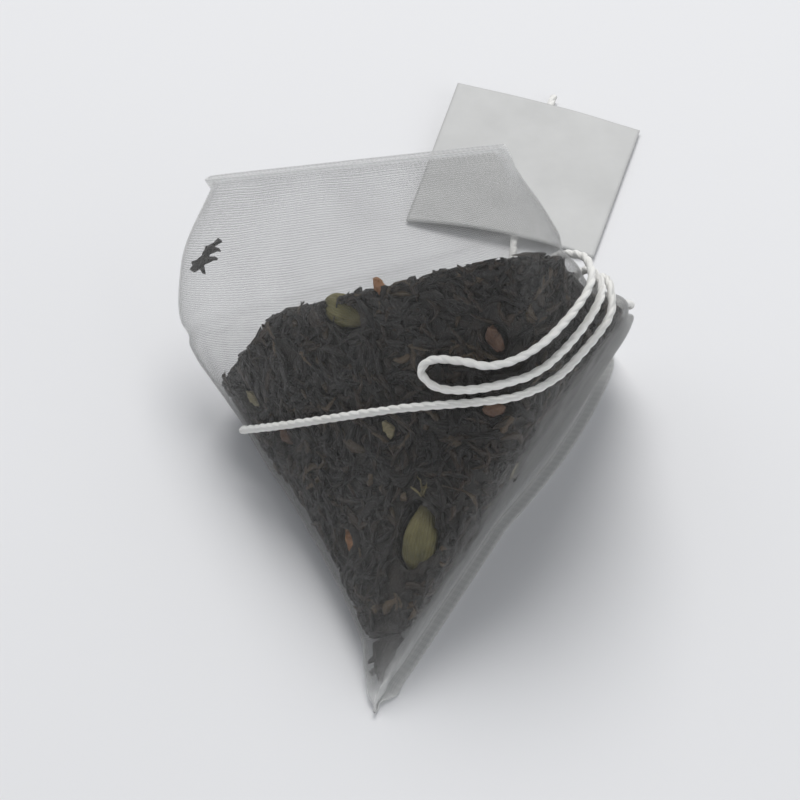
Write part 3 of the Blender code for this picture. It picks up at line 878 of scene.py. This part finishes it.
# Twisted, bent blades, each a short tube with four corners
def leafBlades(middle, normal, ahead, length, width, rng):
    count, rings = len(middle), tea["rings"]
    side = unitRows(np.cross(normal, ahead))
    out = np.cross(ahead, side)
    thick = width * rng.uniform(*tea["thick"], count)
    bendSide, bendOut = rng.normal(0, tea["bendAside"], count), rng.normal(0, tea["bendOut"], count)
    twist = rng.normal(0, tea["twist"], count)
    blocks = []
    for k in range(rings):
        s = k / (rings - 1) * 2 - 1
        bent = s * s - tea["bendMiddle"]
        spot = (
            middle + ahead * (s * length / 2)[:, None]
            + side * (bendSide * length * bent)[:, None]
            + out * (bendOut * length * bent)[:, None]
        )
        lumpy = (1 - tea["taper"] * abs(s) ** 3) * rng.uniform(*tea["lumps"], count)
        turn = twist * s
        wide = side * np.cos(turn)[:, None] + out * np.sin(turn)[:, None]
        high = out * np.cos(turn)[:, None] - side * np.sin(turn)[:, None]
        for du, dv in ((1, 0), (0, 1), (-1, 0), (0, -1)):
            blocks.append(spot + wide * (du * width * lumpy / 2)[:, None]
                          + high * (dv * thick * lumpy / 2)[:, None])
    points = np.stack(blocks, axis=1).reshape(-1, 3)
    one = np.array(tubeFaces(rings, 4))
    faces = (one[None] + (np.arange(count) * rings * 4)[:, None, None]).reshape(-1, 4)
    return points, faces


# Each blade's own color
def toned(mesh, tone):
    corners = tea["rings"] * 4
    solid = np.ones((len(tone) * corners, 1))
    tones = np.concatenate([np.repeat(tone, corners, axis=0), solid], axis=1)
    layer = mesh.attributes.new("tone", "FLOAT_COLOR", "POINT")
    layer.data.foreach_set("color", tones.astype(np.float32).reshape(-1))
    return mesh


# The middle of a node's solid, its long, wide and thin directions, and its size along them
def frameOf(name):
    points = np.array([vert.co for vert in nodes[name].data.vertices])
    _, _, axes = np.linalg.svd(points - points.mean(axis=0), full_matrices=False)
    if axes[0][2] < 0:
        axes[0] = -axes[0]
    axes[2] = np.cross(axes[0], axes[1])
    spans = (points - points.mean(axis=0)) @ axes.T
    size = spans.max(axis=0) - spans.min(axis=0)
    middle = points.mean(axis=0) + ((spans.max(axis=0) + spans.min(axis=0)) / 2) @ axes
    return middle, axes, size


# How far the points lie past the empty end by the bag's tip
def pastTip(points):
    tip = np.array(shift) + place(film["tip"])
    return (points - tip) @ unit(np.array(tea["tipAhead"])) - tea["tipEmpty"]


# Which blades neither pass through a pod or chip nor lie between it and the film
def clearOfContents(blades):
    kept = (pastTip(blades) > 0).all(axis=1)
    for name in nodes:
        if not name.startswith(tea["shown"]):
            continue
        middle, axes, size = frameOf(name)
        outward = filmSurface.find_nearest(Vector(middle))[1]
        for step in tea["clearSteps"]:
            at = middle + np.array(outward) * step * mm
            apart = (blades - at) @ axes.T / (size / 2 + tea["around"])
            kept &= ~((apart**2).sum(axis=2) < 1).any(axis=1)
    return kept


def makeLeaves():
    rng = np.random.default_rng(tea["seed"])
    count = tea["leaves"]
    at, normal = surfaceSamples("tea_fill", count, rng)
    ahead = unitRows(np.cross(normal, rng.normal(size=(count, 3))))
    ahead = unitRows(ahead + normal * rng.normal(0, tea["tilt"], count)[:, None])
    length = rng.uniform(*tea["length"], count) * rng.choice(tea["lengths"], count) * mm
    width = rng.uniform(*tea["width"], count) * mm
    middle = at - normal * (rng.uniform(*tea["sunk"], count) * mm)[:, None]
    points, faces = leafBlades(middle, normal, ahead, length, width, rng)
    proud = rng.choice(tea["prouds"], count, p=tea["proudShares"])
    points = nearTea(points, np.repeat(proud, tea["rings"] * 4) * tea["proud"])
    points = insideFilm(points, tea["room"])
    points[:, 2] = np.maximum(points[:, 2], tea["floor"])
    kind = rng.random(count)
    tone = rng.uniform(0.5, 1.5, count)[:, None] * np.array([tea["dark"]])
    for least, color in ((tea["brownFrom"], tea["brown"]), (tea["tanFrom"], tea["tan"])):
        picked = kind > least
        tone[picked] = np.array(color) * rng.uniform(0.6, 1.35, picked.sum())[:, None]
    blades = points.reshape(count, -1, 3)
    kept = clearOfContents(blades)
    faces = faces.reshape(count, -1, 4)[: kept.sum()].reshape(-1, 4)
    return toned(meshOf("teaLeaves", blades[kept].reshape(-1, 3), faces), tone[kept])


looseLeaves = {
    "tipLeaf": {"node": "tea_leaf_tip", "room": (0.14, 0.5, 0.3), "stray": 0.07,
                "length": (0.8, 1.15), "width": (0.4, 0.7)},
    "cornerLeaf": {"node": "tea_leaf_corner", "room": (0.45, 0.35, 0.3), "stray": 0.08,
                   "length": (0.4, 0.65), "width": (0.24, 0.42)},
}


# A ragged leaf: a few blades side by side along a node's length
def looseLeaf(leaf, seed):
    name = leaf["node"]
    middle, axes, size = frameOf(name)
    rng = np.random.default_rng(seed)
    count = tea["bladesInLeaf"]
    spots = rng.uniform(-0.5, 0.5, (count, 3)) * np.array(leaf["room"]) * size
    at = middle + spots @ axes
    ahead = unitRows(axes[0] + rng.normal(0, leaf["stray"], (count, 3)))
    normal = np.repeat(axes[2][None], count, axis=0)
    length = rng.uniform(*leaf["length"], count) * size[0]
    width = rng.uniform(*leaf["width"], count) * size[1]
    points, faces = leafBlades(at, normal, ahead, length, width, rng)
    points = insideFilm(points, tea["room"])
    tone = rng.uniform(0.7, 1.7, count)[:, None] * np.array([tea["dark"]])
    return toned(meshOf(name, points, faces), tone)


def teaMaterial(name, fromTone):
    material, tree, shader = newMaterial(name)
    coords = objectCoords(tree)
    fine = noiseAt(tree, coords, tea["grainScale"], 4.0, 0.65)
    if fromTone:
        base = node(tree, "ShaderNodeAttribute", attribute_name="tone").outputs["Color"]
    else:
        patches = noiseAt(tree, coords, tea["coreScale"], 3.0)
        base = ramp(tree, patches, (0.35, tea["coreDark"]), (0.7, tea["corePale"]))
    color = mixColor(tree, maths(tree, "MULTIPLY", fine, 0.7), base, tea["dust"])
    tree.links.new(color, shader.inputs["Base Color"])
    tree.links.new(bump(tree, fine, 0.6, 0.12 * mm), shader.inputs["Normal"])
    shader.inputs["Roughness"].default_value = 0.45
    shader.inputs["Specular IOR Level"].default_value = 0.5
    return material


# A node's solid with more faces and a rough surface
def roughened(name, source, cuts, depth, scale, smooth):
    bm = bmesh.new()
    bm.from_mesh(nodes[source].data)
    bmesh.ops.remove_doubles(bm, verts=bm.verts, dist=0.001 * mm)
    bmesh.ops.subdivide_edges(bm, edges=bm.edges, cuts=cuts, use_grid_fill=True, smooth=smooth)
    bm.normal_update()
    for vert, normal in [(vert, vert.normal.copy()) for vert in bm.verts]:
        at = vert.co / (scale * mm)
        vert.co -= normal * (0.5 + 0.5 * noise.noise(at) + 0.25 * noise.noise(at * 2.7)) * depth * mm
        vert.co.z = max(vert.co.z, tea["floor"])
    mesh = bpy.data.meshes.new(name)
    bm.to_mesh(mesh)
    bm.free()
    mesh.shade_smooth()
    return mesh


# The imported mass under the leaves, cut off square where the bag is empty by its tip
def makeCore():
    core = roughened("teaCore", "tea_fill", cuts=3, depth=0.7, scale=1.3, smooth=0.0)
    ahead = unit(np.array(tea["tipAhead"]))
    bm = bmesh.new()
    bm.from_mesh(core)
    bmesh.ops.bisect_plane(
        bm, geom=[*bm.verts, *bm.edges, *bm.faces], clear_inner=True, plane_no=ahead,
        plane_co=shift + Vector(ahead) * tea["tipEmpty"],
    )
    bmesh.ops.holes_fill(bm, edges=[edge for edge in bm.edges if edge.is_boundary], sides=0)
    bm.to_mesh(core)
    bm.free()
    return core


leafLook = teaMaterial("teaLeaves", True)
addPiece("teaLeaves", makeLeaves(), leafLook, "tea")
for seed, (name, leaf) in enumerate(looseLeaves.items()):
    addPiece(name, looseLeaf(leaf, seed), leafLook, "leaf", leaf["node"])
addPiece("teaCore", makeCore(), teaMaterial("teaCore", False), "tea", "tea_fill")
say("tea")


# Seed pods and chips, each in its solid's own place
pod = {
    "around": 72,
    "along": 60,
    "lobes": 3,
    "lobeDepth": 0.10,
    "ribs": 15,
    "ribDepth": 0.035,
    "ribWander": 2.2,
    "ribsEnd": 0.86,
    "body": 0.88,
    "blunt": (0.82, 0.62),
    "beakFrom": 0.80,
    "beakLong": 0.2,
    "beak": (0.14, 0.02),
    "scar": 0.05,
    "dentSize": 1.1 * mm,
    "dents": 0.045,
    "room": 0.2 * mm,
    "patchScale": 420.0,
    "grainScale": 1600.0,
    "patches": ((0.28, (0.078, 0.074, 0.022)), (0.5, (0.165, 0.145, 0.048)),
                (0.72, (0.25, 0.22, 0.085))),
    "groove": (0.05, 0.045, 0.016),
    "dryEnd": (0.16, 0.12, 0.06),
}


# Three-lobed and finely ribbed, with a short stalk scar and a thin dry beak
def podMesh(name, seed):
    middle, axes, size = frameOf(name)
    s = np.linspace(0, 1, pod["along"])
    turns = np.linspace(0, 2 * math.pi, pod["around"], endpoint=False)
    body = np.sin(math.pi * np.clip(s / pod["body"], 0, 1) ** pod["blunt"][0]) ** pod["blunt"][1]
    beak = np.clip((s - pod["beakFrom"]) / pod["beakLong"], 0, 1)
    radius = np.maximum(body, pod["beak"][0] * (1 - beak) + pod["beak"][1])
    radius[0] = pod["scar"]
    along, turn = np.meshgrid(s, turns, indexing="ij")
    lobe = 1 - pod["lobeDepth"] * (1 + np.cos(pod["lobes"] * turn + seed)) / 2
    wander = pod["ribWander"] * np.sin(3 * along + seed)
    ribbed = along < pod["ribsEnd"]
    rib = 1 - pod["ribDepth"] * (1 + np.cos(pod["ribs"] * turn + wander)) / 2 * ribbed
    grid = np.stack([
        (along - 0.5) * size[0],
        radius[:, None] * lobe * rib * np.cos(turn) * size[1] / 2,
        radius[:, None] * lobe * rib * np.sin(turn) * size[2] / 2,
    ], axis=-1)
    for i in range(grid.shape[0]):
        for j in range(grid.shape[1]):
            at = Vector(grid[i, j]) / pod["dentSize"] + Vector((seed, 0, 0))
            grid[i, j] *= 1 - pod["dents"] * (1 + noise.noise(at))
    points = middle + grid.reshape(-1, 3) @ axes
    points = insideFilm(points, pod["room"])
    mesh = meshOf(name, points, tubeFaces(pod["along"], pod["around"]))
    layer = mesh.attributes.new("along", "FLOAT2", "POINT")
    values = np.stack([along.reshape(-1), turn.reshape(-1)], axis=1)
    layer.data.foreach_set("vector", values.astype(np.float32).reshape(-1))
    return mesh


def podMaterial():
    material, tree, shader = newMaterial("podHusk")
    coords = objectCoords(tree)
    parts = node(tree, "ShaderNodeSeparateXYZ", {
        "Vector": node(tree, "ShaderNodeAttribute", attribute_name="along").outputs["Vector"]})
    rib = maths(tree, "SINE", maths(tree, "MULTIPLY", parts.outputs["Y"], 2 * pod["ribs"]))
    color = ramp(tree, noiseAt(tree, coords, pod["patchScale"], 4.0, 0.6), *pod["patches"])
    color = mixColor(tree, maths(tree, "MULTIPLY_ADD", rib, 0.12, 0.14), color, pod["groove"])
    ends = maths(tree, "POWER", parts.outputs["X"], 5.0)
    color = mixColor(tree, maths(tree, "MULTIPLY", ends, 0.8), color, pod["dryEnd"])
    tree.links.new(color, shader.inputs["Base Color"])
    grain = noiseAt(tree, coords, pod["grainScale"], 4.0)
    height = maths(tree, "MULTIPLY_ADD", rib, 0.4, grain)
    tree.links.new(bump(tree, height, 0.6, 0.08 * mm), shader.inputs["Normal"])
    shader.inputs["Roughness"].default_value = 0.6
    return material


# Each kind of chip, from dark to light
chipColors = {
    "peel": ((0.16, 0.065, 0.022), (0.34, 0.15, 0.055), (0.46, 0.25, 0.11)),
    "root": ((0.05, 0.026, 0.016), (0.13, 0.066, 0.040), (0.22, 0.125, 0.078)),
    "hull": ((0.18, 0.145, 0.075), (0.32, 0.275, 0.155), (0.46, 0.42, 0.27)),
}
chipGrain = {"scale": 700.0, "depth": 0.34, "size": 0.55, "cuts": 5, "smooth": 0.04}


def chipMaterial(name, dark, middle, light):
    material, tree, shader = newMaterial(name)
    coords = objectCoords(tree)
    grain = noiseAt(tree, coords, chipGrain["scale"], 5.0, 0.7, 0.6)
    color = ramp(tree, grain, (0.3, dark), (0.5, middle), (0.72, light))
    tree.links.new(color, shader.inputs["Base Color"])
    tree.links.new(bump(tree, grain, 0.7, 0.12 * mm), shader.inputs["Normal"])
    shader.inputs["Roughness"].default_value = 0.7
    return material


curl = {"turn": 80.0, "steps": 28, "wide": 0.38 * mm, "thick": 0.11 * mm, "sides": 8,
        "taper": 0.65, "proud": 0.9 * mm, "room": 0.24 * mm}
wisp = {"seed": 8, "fibres": 9, "stray": 0.35, "length": (1.2, 3.0), "width": 0.24 * mm,
        "up": 0.42, "out": 0.4, "color": (0.24, 0.20, 0.09)}


# A dry strip of husk bent into an arc in its solid's place
def curlMesh(name):
    middle, axes, size = frameOf(name)
    outward = np.array(filmSurface.find_nearest(Vector(middle))[1])
    reach = size[0] / 2 - curl["wide"]
    turns = np.radians(np.linspace(-curl["turn"], curl["turn"], curl["steps"]))
    around = np.linspace(0, 2 * math.pi, curl["sides"], endpoint=False)
    depth = min(size[1] - curl["wide"], reach)
    grid = []
    for turn in turns:
        spot = np.array([reach * math.sin(turn), depth * (math.cos(turn) - 0.5), 0.0])
        aside = unit(np.array([math.sin(turn), math.cos(turn), 0.0]))
        taper = 1 - curl["taper"] + curl["taper"] * math.cos(turn) ** 0.5
        grid.append([spot + aside * curl["wide"] * taper * math.cos(a)
                     + np.array([0, 0, curl["thick"] * math.sin(a)]) for a in around])
    middle = middle + outward * curl["proud"]
    points = insideFilm(middle + np.array(grid).reshape(-1, 3) @ axes, curl["room"])
    return meshOf(name, points, tubeFaces(curl["steps"], curl["sides"]))


# Dry fibres torn loose at a pod's upper end
def wispMesh(name):
    middle, axes, size = frameOf(name)
    rng = np.random.default_rng(wisp["seed"])
    count = wisp["fibres"]
    outward = np.array(filmSurface.find_nearest(Vector(middle))[1])
    upward = axes[0] * np.sign(axes[0][1] + axes[0][2])
    ahead = unitRows(upward + rng.normal(0, wisp["stray"], (count, 3)))
    length = rng.uniform(*wisp["length"], count) * mm
    root = middle + upward * size[0] * wisp["up"] + outward * size[2] * wisp["out"]
    at = root + ahead * length[:, None] / 2
    normal = np.repeat(axes[2][None], count, axis=0)
    points, faces = leafBlades(at, normal, ahead, length, np.full(count, wisp["width"]), rng)
    points = insideFilm(points, curl["room"])
    tone = rng.uniform(0.8, 1.4, count)[:, None] * np.array([wisp["color"]])
    return toned(meshOf(name, points, faces), tone)


def makeContents():
    husk = podMaterial()
    addPiece("podWisp", wispMesh("cardamom_pod_front"), leafLook, "pod")
    for seed, name in enumerate(("cardamom_pod_front", "cardamom_pod_upper", "cardamom_pod_rear")):
        addPiece("pod" + str(seed + 1), podMesh(name, seed * 1.7 + 0.4), husk, "pod", name)
    looks = {kind: chipMaterial(kind + "Chip", *colors) for kind, colors in chipColors.items()}
    for name in sorted(nodes):
        kind = name.split("_")[0]
        if name == "husk_curl":
            addPiece("huskCurl", curlMesh(name), looks["hull"], "hull", name)
        elif kind in looks:
            mesh = roughened(name + "Rough", name, chipGrain["cuts"], chipGrain["depth"],
                             chipGrain["size"], chipGrain["smooth"])
            addPiece(name + "Rough", mesh, looks[kind], kind, name)


makeContents()
say("contents")
